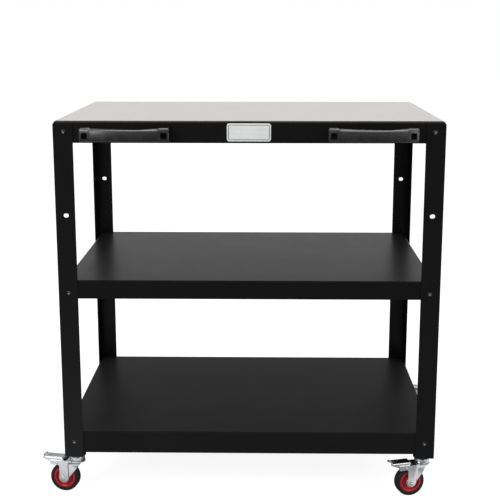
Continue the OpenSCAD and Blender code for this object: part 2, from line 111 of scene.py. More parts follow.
def choose(tree, pick, no, yes):
    """Gives the value yes where pick is 1 and the value no where it is 0."""
    mix = tree.nodes.new("ShaderNodeMix")
    tree.links.new(pick, mix.inputs["Factor"])
    for socket, value in ((mix.inputs["A"], no), (mix.inputs["B"], yes)):
        if isinstance(value, (int, float)):
            socket.default_value = value
        else:
            tree.links.new(value, socket)
    return mix.outputs["Result"]


def fade(tree, vector, along, start, end, low, high):
    """A value that goes smoothly from low to high as a vector's share along a direction grows."""
    share = tree.nodes.new("ShaderNodeVectorMath")
    share.operation = "DOT_PRODUCT"
    share.inputs[1].default_value = along
    tree.links.new(vector, share.inputs[0])
    ramp = tree.nodes.new("ShaderNodeMapRange")
    ramp.interpolation_type = "SMOOTHSTEP"
    for name, value in (("From Min", start), ("From Max", end), ("To Min", low), ("To Max", high)):
        ramp.inputs[name].default_value = value
    tree.links.new(share.outputs["Value"], ramp.inputs["Value"])
    return ramp.outputs[0]


# Shares of a direction over which one part of the room goes over into the next
SWEEP_TOP, CEILING_EDGE, FRONT_EDGE = (0.26, 0.33), (0.34, 0.58), (-0.26, 0.04)
UP, UP_AND_BACK = (0, 0, 1), (0, 0.35, 0.94)


def make_world(lighting, dim_room, dim_front):
    """Plain light for the cart, white for the lens, and a whole room for mirrors."""
    world = bpy.data.worlds.new("white_studio")
    world.use_nodes = True
    tree = world.node_tree
    sky = tree.nodes["Background"]
    sky.inputs["Color"].default_value = (1, 1, 1, 1)
    toward = tree.nodes.new("ShaderNodeTexCoord").outputs["Generated"]
    sweep = fade(tree, toward, UP, *SWEEP_TOP, 1, dim_room)
    ceiling = fade(tree, toward, UP, *CEILING_EDGE, 0, 1)
    front = fade(tree, toward, UP_AND_BACK, *FRONT_EDGE, dim_front, 1)
    mirrored = combined(tree, "MULTIPLY", choose(tree, ceiling, sweep, 1), front)
    unseen = choose(tree, rays_of(tree, "Is Glossy Ray"), lighting, mirrored)
    strength = choose(tree, rays_of(tree, "Is Camera Ray", "Is Transmission Ray"), unseen, 1)
    tree.links.new(strength, sky.inputs["Strength"])
    scene.world = world


make_world(lighting=0.55, dim_room=0.26, dim_front=0.12)
print("world", scene.world.name)

# %% [markdown]
# ### Floor
#
# A plain floor catches the cart's shadow, and the lens sees the rest of it white. The bright zinc of
# the casters mirrors it too, and zinc that mirrors nothing but white looks flat. So what a mirror
# sees of the floor glows only in places: in a band before the cart, more on the left, and from the
# cart's right side outwards, like a white card laid there to light the right front fork. The band
# fades out under the cart as painted shadow: it stands in for the cart's shadow on the floor, as the
# zinc mirrors it.

# %% Lay the floor
ACROSS, AWAY = (1, 0, 0), (0, 1, 0)
# Places in metres between which each glow comes or goes
BAND_SIDES, BAND_NEAR, PAINTED_SHADOW_UNDER_CART = (-0.5, 0.5), (-1.6, -0.6), (-0.40, -0.28)
CARD_SIDE, CARD_NEAR = (0.42, 0.46), (-0.41, -0.32)


def make_floor(half_width, grey, glow):
    """A pale floor: a grey that takes the shadows, and a white that only the lens and mirrors see."""
    mesh = bpy.data.meshes.new("studio_floor")
    corners = [(-1, -1), (1, -1), (1, 1), (-1, 1)]
    mesh.from_pydata([(x * half_width, y * half_width, 0) for x, y in corners], [], [(0, 1, 2, 3)])
    floor = bpy.data.objects.new("studio_floor", mesh)
    scene.collection.objects.link(floor)
    paint = bpy.data.materials.new("pale_floor")
    paint.use_nodes = True
    tree = paint.node_tree
    matt = tree.nodes["Principled BSDF"]
    matt.inputs["Base Color"].default_value = (grey, grey, grey, 1)
    matt.inputs["Roughness"].default_value = 0.9
    matt.inputs["Specular IOR Level"].default_value = 0
    place = tree.nodes.new("ShaderNodeTexCoord").outputs["Object"]
    sideways = fade(tree, place, ACROSS, *BAND_SIDES, 0.75 * glow, 0.1 * glow)
    # The band's far fade is painted shadow: under the cart the glow that mirrors see dies away
    before_cart = combined(tree, "MULTIPLY", fade(tree, place, AWAY, *BAND_NEAR, 0, 1),
                           fade(tree, place, AWAY, *PAINTED_SHADOW_UNDER_CART, 1, 0.05))
    band = combined(tree, "MULTIPLY", sideways, before_cart)
    card = combined(tree, "MULTIPLY", fade(tree, place, ACROSS, *CARD_SIDE, 0, 0.8 * glow),
                    fade(tree, place, AWAY, *CARD_NEAR, 0, 1))
    unseen = choose(tree, rays_of(tree, "Is Glossy Ray"), 0, combined(tree, "ADD", band, card))
    power = choose(tree, rays_of(tree, "Is Camera Ray", "Is Transmission Ray"), unseen, glow)
    white = tree.nodes.new("ShaderNodeEmission")
    tree.links.new(power, white.inputs["Strength"])
    both = tree.nodes.new("ShaderNodeAddShader")
    tree.links.new(matt.outputs[0], both.inputs[0])
    tree.links.new(white.outputs[0], both.inputs[1])
    tree.links.new(both.outputs[0], tree.nodes["Material Output"].inputs["Surface"])
    mesh.materials.append(paint)
    return floor


studio_floor = make_floor(half_width=20, grey=0.34, glow=0.9)
print("floor", studio_floor.name)

# %% [markdown]
# ## Lamps
#
# Three large soft lamps are enough for metal: a key from the front left, a weaker fill from the
# right, and one overhead that draws a light line along the top bends. Small lamps would print hard
# spots on the bright zinc, so each lamp is over a metre wide.

# %% Hang the lamps
def soft_lamp(name, place, target, width, power):
    """A square area lamp that faces a target point."""
    light = bpy.data.lights.new(name, "AREA")
    light.size = width
    light.energy = power
    lamp = bpy.data.objects.new(name, light)
    lamp.location = place
    lamp.rotation_euler = (Vector(target) - Vector(place)).to_track_quat("-Z", "Y").to_euler()
    scene.collection.objects.link(lamp)
    return lamp


CART_MIDDLE = (0, 0, 0.5)
LAMPS = [
    ("key_front_left", (-2.4, -3.0, 2.6), 1.8, 60),
    ("fill_front_right", (2.8, -2.4, 1.8), 2.0, 28),
    ("overhead", (0.2, 0.6, 3.2), 2.2, 40),
]
lamps = [soft_lamp(name, place, CART_MIDDLE, width, power) for name, place, width, power in LAMPS]
print("lamps:", [row[0] for row in LAMPS])

# %% [markdown]
# ## Finishes
#
# A finish is one Principled shader and a few patterns that disturb it: a noise that tints the
# colour, a noise that spreads the roughness, and a fine noise that lifts the surface as bump.
# Painted textures could do this too, but noise has no seams and no fixed resolution, so it stays
# sharp on a 9 mm screw head and on a 900 mm pan. The patterns take object coordinates, so they
# ride with a part when it turns.

# %% Helpers for finishes
def new_finish(name, color, metallic, roughness, specular=0.5):
    """A Principled material with its plain values set on the shader itself."""
    finish = bpy.data.materials.new(name)
    finish.use_nodes = True
    shader = finish.node_tree.nodes["Principled BSDF"]
    shader.inputs["Base Color"].default_value = (*color, 1)
    shader.inputs["Metallic"].default_value = metallic
    shader.inputs["Roughness"].default_value = roughness
    shader.inputs["Specular IOR Level"].default_value = specular
    return finish


def blotches(finish, per_metre, detail, stretch=(1, 1, 1)):
    """A soft noise with so many blotches to the metre, fixed to the part."""
    tree = finish.node_tree
    place = tree.nodes.new("ShaderNodeTexCoord")
    pull = tree.nodes.new("ShaderNodeMapping")
    pull.inputs["Scale"].default_value = stretch
    noise = tree.nodes.new("ShaderNodeTexNoise")
    noise.inputs["Scale"].default_value = per_metre
    noise.inputs["Detail"].default_value = detail
    tree.links.new(place.outputs["Object"], pull.inputs["Vector"])
    tree.links.new(pull.outputs["Vector"], noise.inputs["Vector"])
    return noise.outputs["Fac"]


def spread(finish, pattern, low, high, socket=None):
    """Maps the middle of a pattern to the range low to high, and feeds it to a socket if named."""
    tree = finish.node_tree
    ramp = tree.nodes.new("ShaderNodeMapRange")
    for name, value in (("From Min", 0.3), ("From Max", 0.7), ("To Min", low), ("To Max", high)):
        ramp.inputs[name].default_value = value
    tree.links.new(pattern, ramp.inputs["Value"])
    if socket:
        tree.links.new(ramp.outputs[0], tree.nodes["Principled BSDF"].inputs[socket])
    return ramp.outputs[0]


def tint(finish, pattern, dark, light):
    """Colours the part between two tones, by a pattern."""
    tree = finish.node_tree
    mix = tree.nodes.new("ShaderNodeMix")
    mix.data_type = "RGBA"
    mix.inputs["A"].default_value = (*dark, 1)
    mix.inputs["B"].default_value = (*light, 1)
    tree.links.new(spread(finish, pattern, 0, 1), mix.inputs["Factor"])
    tree.links.new(mix.outputs["Result"], tree.nodes["Principled BSDF"].inputs["Base Color"])


def relief(finish, pattern, height_mm, strength, below=None):
    """Lifts the surface by a pattern, on top of an earlier relief if one is given."""
    tree = finish.node_tree
    bump = tree.nodes.new("ShaderNodeBump")
    bump.inputs["Strength"].default_value = strength
    bump.inputs["Distance"].default_value = height_mm * MM
    tree.links.new(pattern, bump.inputs["Height"])
    if below is not None:
        tree.links.new(below, bump.inputs["Normal"])
    tree.links.new(bump.outputs["Normal"], tree.nodes["Principled BSDF"].inputs["Normal"])
    return bump.outputs["Normal"]


def patterned(finish, tones=None, gloss=None, grain=None):
    """Adds up to three patterns. Each starts with its blotches per metre and detail; then come two
    colours for the tones, two roughnesses for the gloss, or height in mm and strength for the grain.
    """
    if tones:
        tint(finish, blotches(finish, *tones[:2]), *tones[2:])
    if gloss:
        spread(finish, blotches(finish, *gloss[:2]), *gloss[2:], "Roughness")
    if grain:
        relief(finish, blotches(finish, *grain[:2]), *grain[2:])
    return finish


print("helpers for finishes ready")

# %% [markdown]
# ### Black powder coat
#
# Legs, pan and shelves are baked powder coat. Seen close it has an orange peel of about a
# millimetre and a faint haze where hands and cloths have rubbed it. A single black looks like a
# hole in the picture, so the roughness wanders a little and the peel breaks up each highlight. The
# shelves are the same coat with less shine, and their black is paler: painted light, standing in for
# the light that falls on them. The bottom one is the palest and dullest.

# %% Mix the powder coat
powder_coat = patterned(new_finish("black_powder_coat", (0.0034,) * 3, 0, 0.36, specular=0.2),
                        tones=(9, 2, (0.0029,) * 3, (0.0039,) * 3), gloss=(14, 4, 0.34, 0.38))
peel = relief(powder_coat, blotches(powder_coat, 750, 1), 0.05, 0.35)
relief(powder_coat, blotches(powder_coat, 160, 1), 0.06, 0.25, peel)

# Each shelf, its black, its shine and its roughness. The paler black is painted light: it stands in for light
# falling on the shelf
SHELF_LIT_BLACKS = [("mid_shelf", 0.007, 0.08, 0.36), ("bottom_shelf", 0.012, 0.035, 0.45)]
shelf_coats = {}
for shelf, shade, shine, roughness in SHELF_LIT_BLACKS:
    coat = new_finish("powder_coat_" + shelf, (shade,) * 3, 0, roughness, specular=shine)
    shelf_coats[shelf] = patterned(coat, tones=(7, 3, (shade * 0.93,) * 3, (shade * 1.07,) * 3),
                                   gloss=(11, 4, roughness - 0.012, roughness + 0.012),
                                   grain=(620, 1, 0.06, 0.4))
print("mixed", powder_coat.name, "and", list(shelf_coats))

# %% [markdown]
# ### Brushed stainless
#
# The worktop is sheet steel with a fine brushed grain along its length. The grain is one noise
# squeezed to long thin streaks, used twice: as bump and as roughness. A wide slow noise adds the
# wiping marks that every stainless table has.

# %% Mix the stainless
stainless = new_finish("brushed_stainless", (0.715, 0.687, 0.679), 1, 0.3)
streaks = blotches(stainless, 40, 3, (0.12, 30, 30))
spread(stainless, streaks, 0.27, 0.36, "Roughness")
tint(stainless, blotches(stainless, 4, 3), (0.70, 0.672, 0.664), (0.73, 0.702, 0.694))
relief(stainless, streaks, 0.01, 0.3)
print("mixed", stainless.name)

# %% [markdown]
# ### Bright zinc
#
# The casters' pressed steel is zinc plated: almost a mirror, a little blue, with cloudy patches
# from the bath and rub marks that follow no direction. It shows the white room and the dark shelf
# above it, which is why one pedal looks silver and the other nearly black.

# %% Mix the zinc
zinc = patterned(new_finish("bright_zinc", (0.64, 0.65, 0.67), 1, 0.18),
                 tones=(120, 3, (0.58, 0.59, 0.615), (0.69, 0.70, 0.71)),
                 gloss=(260, 4, 0.10, 0.26), grain=(420, 2, 0.03, 0.12))
print("mixed", zinc.name)

# %% [markdown]
# ### Moulded plastics, rubber and small finishes
#
# The handles and collars are black plastic with a fine spark-eroded grain, the hubs are glossy red
# plastic, and the tyres are matt rubber with paler, dusty patches. The screws are blackened steel,
# with a pale steel in the recess of each leg screw as painted highlight, and the nameplate is satin
# aluminium with its groove's floor painted dark as painted shade. Each gets the patterns that can be
# seen on it, at its own scale.

# %% Mix the small finishes
grip_plastic = patterned(new_finish("grained_black_plastic", (0.009,) * 3, 0, 0.24, specular=0.85),
                         gloss=(60, 3, 0.20, 0.29), grain=(1500, 1, 0.012, 0.15))
collar_plastic = patterned(new_finish("smooth_black_plastic", (0.012,) * 3, 0, 0.28),
                           gloss=(90, 3, 0.22, 0.36), grain=(900, 1, 0.02, 0.25))
red_plastic = patterned(new_finish("glossy_red_plastic", (0.41, 0.012, 0.018), 0, 0.22),
                        tones=(60, 2, (0.36, 0.010, 0.015), (0.46, 0.015, 0.022)),
                        gloss=(150, 3, 0.17, 0.30), grain=(500, 1, 0.02, 0.2))
rubber = patterned(new_finish("black_rubber", (0.007,) * 3, 0, 0.5, specular=0.35),
                   tones=(90, 4, (0.005,) * 3, (0.011, 0.011, 0.0115)),
                   gloss=(120, 3, 0.46, 0.66), grain=(1300, 2, 0.05, 0.4))
black_screw = patterned(new_finish("blackened_steel", (0.006, 0.006, 0.0065), 0, 0.2, specular=0.45),
                        gloss=(500, 3, 0.15, 0.26), grain=(1800, 1, 0.02, 0.25))
# Painted highlight: a pale steel for the faces of each leg screw's recess
painted_glint_steel = patterned(new_finish("painted_glint_steel", (0.8, 0.79, 0.78), 0.3, 0.4), gloss=(900, 2, 0.32, 0.5))

plate_metal = new_finish("satin_aluminium", (0.91, 0.915, 0.92), 0.1, 0.3)
hairlines = blotches(plate_metal, 60, 3, (0.2, 30, 30))
spread(plate_metal, hairlines, 0.24, 0.36, "Roughness")
tint(plate_metal, blotches(plate_metal, 30, 2), (0.88, 0.885, 0.89), (0.94, 0.945, 0.95))
relief(plate_metal, hairlines, 0.01, 0.3)
# Painted shade: a dark finish for the floor of the nameplate's groove
groove_shade_paint = patterned(new_finish("painted_groove_shade", (0.03, 0.03, 0.032), 0, 0.4),
                          gloss=(300, 3, 0.32, 0.5))

SLOT_FINISH = {
    "black_coat": powder_coat, "stainless": stainless, "zinc": zinc, "black_screw": black_screw,
    "grip_plastic": grip_plastic, "collar_plastic": collar_plastic, "red_plastic": red_plastic,
    "rubber": rubber, "plate_metal": plate_metal,
}
print("finishes:", len(SLOT_FINISH))

# %% [markdown]
# ## Folded steel: pan, legs, shelves
#
# These parts have the right shape in the frame already, so they stay. Cut and folded sheet never
# has a perfectly sharp edge, and that thin rounded line is what catches the light. A Bevel
# modifier gives it: the flat faces are first freed of their extra edges by a Decimate modifier, so
# the bevel only meets true corners.

# %% Finish the frame's own parts
def round_corners(part, width_mm, angle):
    """Rounds the edges of a part that are sharper than an angle."""
    edge = part.modifiers.new("eased_edges", "BEVEL")
    edge.width = width_mm * MM
    edge.segments = 2
    edge.limit_method = "ANGLE"
    edge.angle_limit = math.radians(angle)
    return edge


def soften_edges(part, width_mm):
    """Rounds the true corners of a part, and shades the rest smoothly."""
    clean = part.modifiers.new("flat_faces", "DECIMATE")
    clean.decimate_type = "DISSOLVE"
    clean.angle_limit = math.radians(1)
    round_corners(part, width_mm, 35).harden_normals = True


slot_of = {row["node"]: row["material_slot"] for row in frame["record"]["subparts"]}
for node_name, part in frame["nodes"].items():
    part.data.materials.clear()
    part.data.materials.append(SLOT_FINISH[slot_of[node_name]])
folded = ["worktop_pan", "worktop_ribs"]
folded += [name for shelf in shelf_coats for name in (shelf, shelf + "_rib")]
folded += [name + corner for corner in CORNERS for name in ("leg_", "foot_plate_")]
for node_name in folded:
    soften_edges(frame["nodes"][node_name], 0.4)
for node_name, coat in shelf_coats.items():
    frame["nodes"][node_name].data.materials[0] = coat
print("eased:", len(folded), "folded parts")

# %% [markdown]
# ## Two ways to make a small part
#
# Nearly every small part of the cart is one of two things: a turned part, which is an outline spun
# about an axis, or a shape that changes along its length, which is a row of cross sections joined
# one to the next. They could be modelled by hand, but mesh code keeps every size in millimetres
# where it can be read, and makes clean faces. What has to be hollowed is cut by a Boolean modifier.

# %% Helpers that make meshes
def new_mesh(name, points, faces, finish, sharp=35):
    """A smooth mesh from points in mm, with its true corners kept sharp."""
    mesh = bpy.data.meshes.new(name)
    mesh.from_pydata([tuple(c * MM for c in point) for point in points], [], faces)
    cleaner = bmesh.new()
    cleaner.from_mesh(mesh)
    bmesh.ops.remove_doubles(cleaner, verts=cleaner.verts, dist=0.002 * MM)
    bmesh.ops.recalc_face_normals(cleaner, faces=cleaner.faces)
    cleaner.to_mesh(mesh)
    cleaner.free()
    mesh.shade_smooth()
    mesh.set_sharp_from_angle(angle=math.radians(sharp))
    mesh.materials.append(finish)
    return mesh


def eased(corners, radius, closed=True, steps=4):
    """Rounds the corners of an outline with short curves."""
    soft = []
    for i, corner in enumerate(corners):
        here = Vector(corner)
        if not closed and i in (0, len(corners) - 1):
            soft.append(tuple(here))
            continue
        before, after = Vector(corners[i - 1]), Vector(corners[(i + 1) % len(corners)])
        reach = min(radius, (before - here).length * 0.45, (after - here).length * 0.45)
        start = here + (before - here).normalized() * reach
        end = here + (after - here).normalized() * reach
        for step in range(steps + 1):
            t = step / steps
            soft.append(tuple(start.lerp(here, t).lerp(here.lerp(end, t), t)))
    return soft


def turned(name, outline, finish, steps=72, closed=True):
    """Spins an outline of (radius, height) about Z."""
    points, rings, faces = [], [], []
    for radius, height in outline:
        count = steps if radius > 0 else 1
        rings.append((len(points), count))
        for step in range(count):
            turn = 2 * math.pi * step / steps
            points.append((radius * math.cos(turn), radius * math.sin(turn), height))
    pairs = list(zip(rings, rings[1:])) + ([(rings[-1], rings[0])] if closed else [])
    for (a, count_a), (b, count_b) in pairs:
        for step in range(steps):
            after = (step + 1) % steps
            corners = [a + step % count_a, a + after % count_a, b + after % count_b, b + step % count_b]
            faces.append(list(dict.fromkeys(corners)))
    return new_mesh(name, points, [face for face in faces if len(face) > 2], finish)


def joined_sections(name, sections, finish, sharp=35):
    """Joins closed cross sections, each a list of 3D points, and closes both ends."""
    count = len(sections[0])
    points = [point for section in sections for point in section]
    faces = [list(range(count)), list(range(len(points) - count, len(points)))]
    for row in range(len(sections) - 1):
        for i in range(count):
            a, b = row * count + i, row * count + (i + 1) % count
            faces.append([a, b, b + count, a + count])
    return new_mesh(name, points, faces, finish, sharp)


def joined(name, meshes, finish):
    """Several meshes as one."""
    joiner = bmesh.new()
    for mesh in meshes:
        joiner.from_mesh(mesh)
    whole = bpy.data.meshes.new(name)
    joiner.to_mesh(whole)
    joiner.free()
    whole.materials.append(finish)
    return whole


def rotated(degrees, axis):
    """A turn about one of the three axes."""
    return Matrix.Rotation(math.radians(degrees), 4, axis)


def moved(x, y, z):
    """A move by so many millimetres."""
    return Matrix.Translation((x * MM, y * MM, z * MM))


def show(name, mesh, body, nodes=(), place=None):
    """Puts a mesh in place, on the body it moves with."""
    part = bpy.data.objects.new(name, mesh)
    scene.collection.objects.link(part)
    part.matrix_world = place or Matrix.Identity(4)
    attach(part, body)
    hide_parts(*nodes)
    return part


def many(name, mesh, places, *finishes):
    """One mesh that holds a copy of another at each of several places."""
    copies = bmesh.new()
    for place in places:
        start = len(copies.verts)
        copies.from_mesh(mesh)
        copies.verts.ensure_lookup_table()
        bmesh.ops.transform(copies, matrix=place, verts=copies.verts[start:])
    crowd = bpy.data.meshes.new(name)
    copies.to_mesh(crowd)
    copies.free()
    for finish in finishes:
        crowd.materials.append(finish)
    return crowd


def cut_away(mesh, cutter_mesh, places):
    """The mesh with a cutter taken away at each place."""
    block = bpy.data.objects.new("block", mesh)
    cutter = bpy.data.objects.new("cutter", many("cutters", cutter_mesh, places, mesh.materials[0]))
    for thing in (block, cutter):
        scene.collection.objects.link(thing)
    hollow = block.modifiers.new("hollow", "BOOLEAN")
    hollow.operation = "DIFFERENCE"
    hollow.object = cutter
    graph = bpy.context.evaluated_depsgraph_get()
    result = bpy.data.meshes.new_from_object(block.evaluated_get(graph))
    result.name = mesh.name
    for thing in (block, cutter):
        bpy.data.objects.remove(thing)
    result.shade_smooth()
    result.set_sharp_from_angle(angle=math.radians(35))
    return result


print("helpers for meshes ready")

# %% [markdown]
# ## Stainless worktop
#
# The sheet lies on the pan inside a narrow black border. Sheet that is glued down over a large
# area is never quite flat, and in shining metal a tenth of a millimetre shows as a slow wave in
# the reflection. So the sheet is a grid with a gentle swell of that height, an eased edge and
# small round corners, and not a flat box. A photographer hangs a card where a lamp would mirror in
# such a sheet and burn it out to white. Light linking is that card: the sheet sees only the room.

# %% Lay the worktop sheet
low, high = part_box("worktop_sheet")
half_w, half_d = (high.x - low.x) / 2 / MM, (high.y - low.y) / 2 / MM
mid_y = (high.y + low.y) / 2 / MM
top_z, sheet_t, corner_r = high.z / MM, (high.z - low.z) / MM, 4
SWELL_H, CALM_RIM = 0.07, 60
# How far in each grid line of the eased edge lies, and how far the first two of them drop
EDGE_LINES, EDGE_DROPS = (0, 0.3, 1.2, 2.4), {0: 0.3, 0.3: 0.09}


def sheet_lines(half, count):
    """Grid lines that crowd together at both edges."""
    inner = half - corner_r
    middle = [-inner + 2 * inner * i / count for i in range(count + 1)]
    return [-half + edge for edge in EDGE_LINES] + middle + [half - edge for edge in EDGE_LINES[::-1]]


def swell(x, y):
    """Height of the slow wave, fading out at the edges."""
    strength = min(1, (half_w - abs(x)) / CALM_RIM, (half_d - abs(y)) / CALM_RIM)
    wave = math.sin(x / 61 + y / 190) + 0.7 * math.sin(x / 143 - y / 83 + 1.7)
    return SWELL_H * max(0, strength) * wave


def round_corner(x, y):
    """Moves a point of the square grid onto the rounded outline."""
    dx, dy = abs(x) - (half_w - corner_r), abs(y) - (half_d - corner_r)
    if dx <= 0 or dy <= 0:
        return x, y
    reach, turn = max(dx, dy), math.atan2(dy, dx)
    return (math.copysign(half_w - corner_r + reach * math.cos(turn), x),
            math.copysign(half_d - corner_r + reach * math.sin(turn), y))


xs, ys = sheet_lines(half_w, 44), sheet_lines(half_d, 30)
points, faces = [], []
for row, y in enumerate(ys):
    for column, x in enumerate(xs):
        edge = min(half_w - abs(x), half_d - abs(y))
        drop = EDGE_DROPS.get(round(edge, 2), 0)
        px, py = round_corner(x, y)
        points.append((px, py + mid_y, top_z - drop + swell(x, y)))
width = len(xs)
for row in range(len(ys) - 1):
    for column in range(width - 1):
        a = row * width + column
        faces.append([a, a + 1, a + width + 1, a + width])
rim = list(range(width)) + [r * width + width - 1 for r in range(1, len(ys))]
rim += [(len(ys) - 1) * width + i for i in range(width - 2, -1, -1)]
rim += [r * width for r in range(len(ys) - 2, 0, -1)]
under = len(points)
points += [(points[i][0], points[i][1], top_z - sheet_t) for i in rim]
for i in range(len(rim)):
    j = (i + 1) % len(rim)
    faces.append([rim[i], rim[j], under + j, under + i])
faces.append([under + i for i in range(len(rim))])
worktop = show("worktop_skin", new_mesh("worktop_skin", points, faces, stainless), "frame",
               ["worktop_sheet"])
carded = bpy.data.collections.new("carded_from_lamps")
carded.objects.link(worktop)
carded.collection_objects[0].light_linking.link_state = "EXCLUDE"
for lamp in lamps:
    lamp.light_linking.receiver_collection = carded
print("worktop skin:", len(worktop.data.polygons), "faces, kept from", len(lamps), "lamps")

# %% [markdown]
# ## Pull handles
#
# Each handle is one moulding: a flat bowed grip on two hollow feet. Seen from above it is a
# bracket, so it is that outline at a row of heights. A thick plate with rounded edges would do, but
# its faces would be dead flat, and a moulding's are not: here each level is pushed in, so that the
# face leans back more and more towards the top, and ends in a curve where the fingers come over it.
# That curve shows as a light line. The feet rise a little above the grip, so the line steps up
# there. The square pockets for the screws are cut afterwards, with a cutter whose mouth flares, so
# that their lower rims catch light too.

# %% Mould the handles
handle_low, handle_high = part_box("handle_left")
handle_mid = (handle_low + handle_high) / 2 / MM
apron_y = handle_high.y / MM
half_len, half_h = (handle_high.x - handle_low.x) / 2 / MM, (handle_high.z - handle_low.z) / 2 / MM
FOOT_W, END_OUT, END_R, GRIP_T, BOW_RISE, HOLLOW_RISE = 24, 32, 2.2, 12, 12, 9.6
FOOT_BASE, POCKET = 7, 11
EDGE_R, TOP_DEEP, TOP_HIGH, LEAN = 2, 4.5, 3.8, 3.2
FOOT_RISE, GRIP_RISE = 3.4, 0.4
gap_half = half_len - FOOT_W


def arc_points(half, rise, back, steps):
    """Points of a shallow arc whose ends lie at -back and whose middle stands out by rise."""
    radius = (half * half + rise * rise) / (2 * rise)
    row = []
    for i in range(steps + 1):
        x = -half + 2 * half * i / steps
        row.append((x, -(math.sqrt(radius * radius - x * x) - (radius - rise)) - back))
    return row


def pushed_in(outline, front_count, front_depth, depth):
    """The bracket's outline moved inwards, its front by one depth and the rest by another."""
    ring = []
    for i, here in enumerate(outline):
        before, after = Vector(outline[i - 1]), Vector(outline[(i + 1) % len(outline)])
        a, b = (Vector(here) - before).normalized(), (after - Vector(here)).normalized()
        inward = Vector((-a.y - b.y, a.x + b.x))
        inward = inward / max(0.6, inward.length_squared / 2)
        x = here[0] + inward.x * depth
        y = here[1] + inward.y * (front_depth if i < front_count else depth)
        ring.append((x, 0 if here[1] == 0 else y))
    return ring


def round_edge(past, deep, high):
    """An elliptical edge: how far it has drawn back at a height past its start."""
    return deep * (1 - math.sqrt(1 - min(1, max(0, past) / high) ** 2))


def rise(x):
    """How far the top of the bracket stands above its middle."""
    on_foot = min(1, max(0, abs(x) - gap_half + 3) / 5)
    return GRIP_RISE * (min(abs(x), gap_half) / gap_half) ** 2 + (FOOT_RISE - GRIP_RISE) * on_foot


bow = arc_points(half_len, BOW_RISE, END_OUT, 40)
grip_and_ends = [(-half_len, -END_OUT * 0.5)] + bow + [(half_len, -END_OUT * 0.5)]
outer = [(-half_len, 0)] + eased(grip_and_ends, END_R, closed=False) + [(half_len, 0)]
hollow = arc_points(gap_half, HOLLOW_RISE, END_OUT - GRIP_T, 30)[::-1]
inner = [(gap_half, 0)] + hollow + [(-gap_half, 0)]
near_edge = [half_h - EDGE_R * (1 - math.sin(math.radians(15 * k))) for k in range(7)]
levels = [half_h * k / 8 for k in range(-6, 7)]
levels += [half_h - TOP_HIGH * (1 - math.sin(math.radians(10 * k))) for k in range(10)]
levels += [side * level for side in (-1, 1) for level in near_edge]
sections = []
for z in sorted(set(round(level, 3) for level in levels)):
    slow = LEAN * (z / half_h / 2 + 0.5) ** 2
    edge = round_edge(abs(z) - half_h + EDGE_R, EDGE_R, EDGE_R)
    front = round_edge(z - half_h + TOP_HIGH, TOP_DEEP, TOP_HIGH) if z > 0 else edge
    lift = max(0, z) / half_h
    ring = pushed_in(outer + inner, len(outer), slow + front, edge)
    sections.append([(x, y, z + lift * rise(x)) for x, y in ring])
bracket = joined_sections("handle_bracket", sections, grip_plastic)


def square_section(half, z, corner=1.2):
    """A small square with round corners, at a height."""
    sides = [(-half, -half), (half, -half), (half, half), (-half, half)]
    return [(x, y, z) for x, y in eased(sides, corner)]


pocket_cutter = joined_sections("pocket_cutter", [
    square_section(POCKET / 2 - 0.2, FOOT_BASE), square_section(POCKET / 2, END_OUT - 2.2),
    square_section(POCKET / 2 + 1.6, END_OUT + 0.4), square_section(POCKET / 2 + 1.8, END_OUT + 14),
], grip_plastic)
foot_x = half_len - FOOT_W / 2
pockets = [moved(side * foot_x, 0, 0) @ rotated(90, "X") for side in (-1, 1)]
handle_mesh = cut_away(bracket, pocket_cutter, pockets)
for name, side in (("handle_left", -1), ("handle_right", 1)):
    place = moved(abs(handle_mid.x) * side, apron_y, handle_mid.z)
    show("pull_" + name, handle_mesh, "frame", [name], place)
print("handle:", len(handle_mesh.polygons), "faces,", round(2 * half_len), "mm long")

# %% [markdown]
# ## Screws
#
# The legs are held by low round heads with a cross recess, and the same kind of screw, smaller
# and dark too, sits in each handle pocket. The head is turned, then a cross of two tapered blades is
# cut out of it. The faces of a leg screw's recess take a second material, a pale steel that is a
# painted highlight: the light dot in the middle of each dark head. Each kind of screw could be many
# objects, but here one mesh is copied to each of its places, so that the kind stays one piece.

# %% Make the screws
CROSS_TURN = 25


def screw_mesh(name, head_r, head_h, shank_r, length, painted_glint):
    """A round-headed screw along -Z: its head stands above z = 0 and its shank reaches below."""
    dome = [(0, head_h), (head_r * 0.45, head_h * 0.97), (head_r * 0.75, head_h * 0.78),
            (head_r * 0.93, head_h * 0.46), (head_r, head_h * 0.14), (head_r * 0.98, 0)]
    thread, z = [], -1.5
    while z > -length + 1:
        thread += [(shank_r, z), (shank_r * 0.86, z - 0.35)]
        z -= 0.7
    outline = dome + [(shank_r, 0)] + thread + [(shank_r * 0.7, -length), (0, -length)]
    screw = turned(name, outline, black_screw, 40, closed=False)
    deep, wide, thin = head_h * 0.8, head_r * 0.52, head_r * 0.11
    blade = joined_sections("cross_blade", [
        [(x * reach, y * half, z) for x, y in ((-1, -1), (1, -1), (1, 1), (-1, 1))]
        for z, reach, half in ((head_h - deep, wide * 0.35, thin * 0.6), (head_h + 1, wide, thin))
    ], black_screw)
    for cut in (rotated(CROSS_TURN, "Z"), rotated(CROSS_TURN, "Z") @ rotated(90, "Z")):
        screw = cut_away(screw, blade, [cut])
    # Painted highlight: the recess faces of a leg screw take the pale steel
    for face in screw.polygons:
        x, y, z = face.center
        in_recess = math.hypot(x, y) < wide * MM and 0 < z < 0.9 * head_h * MM
        face.material_index = 1 if painted_glint and in_recess else 0
    return screw


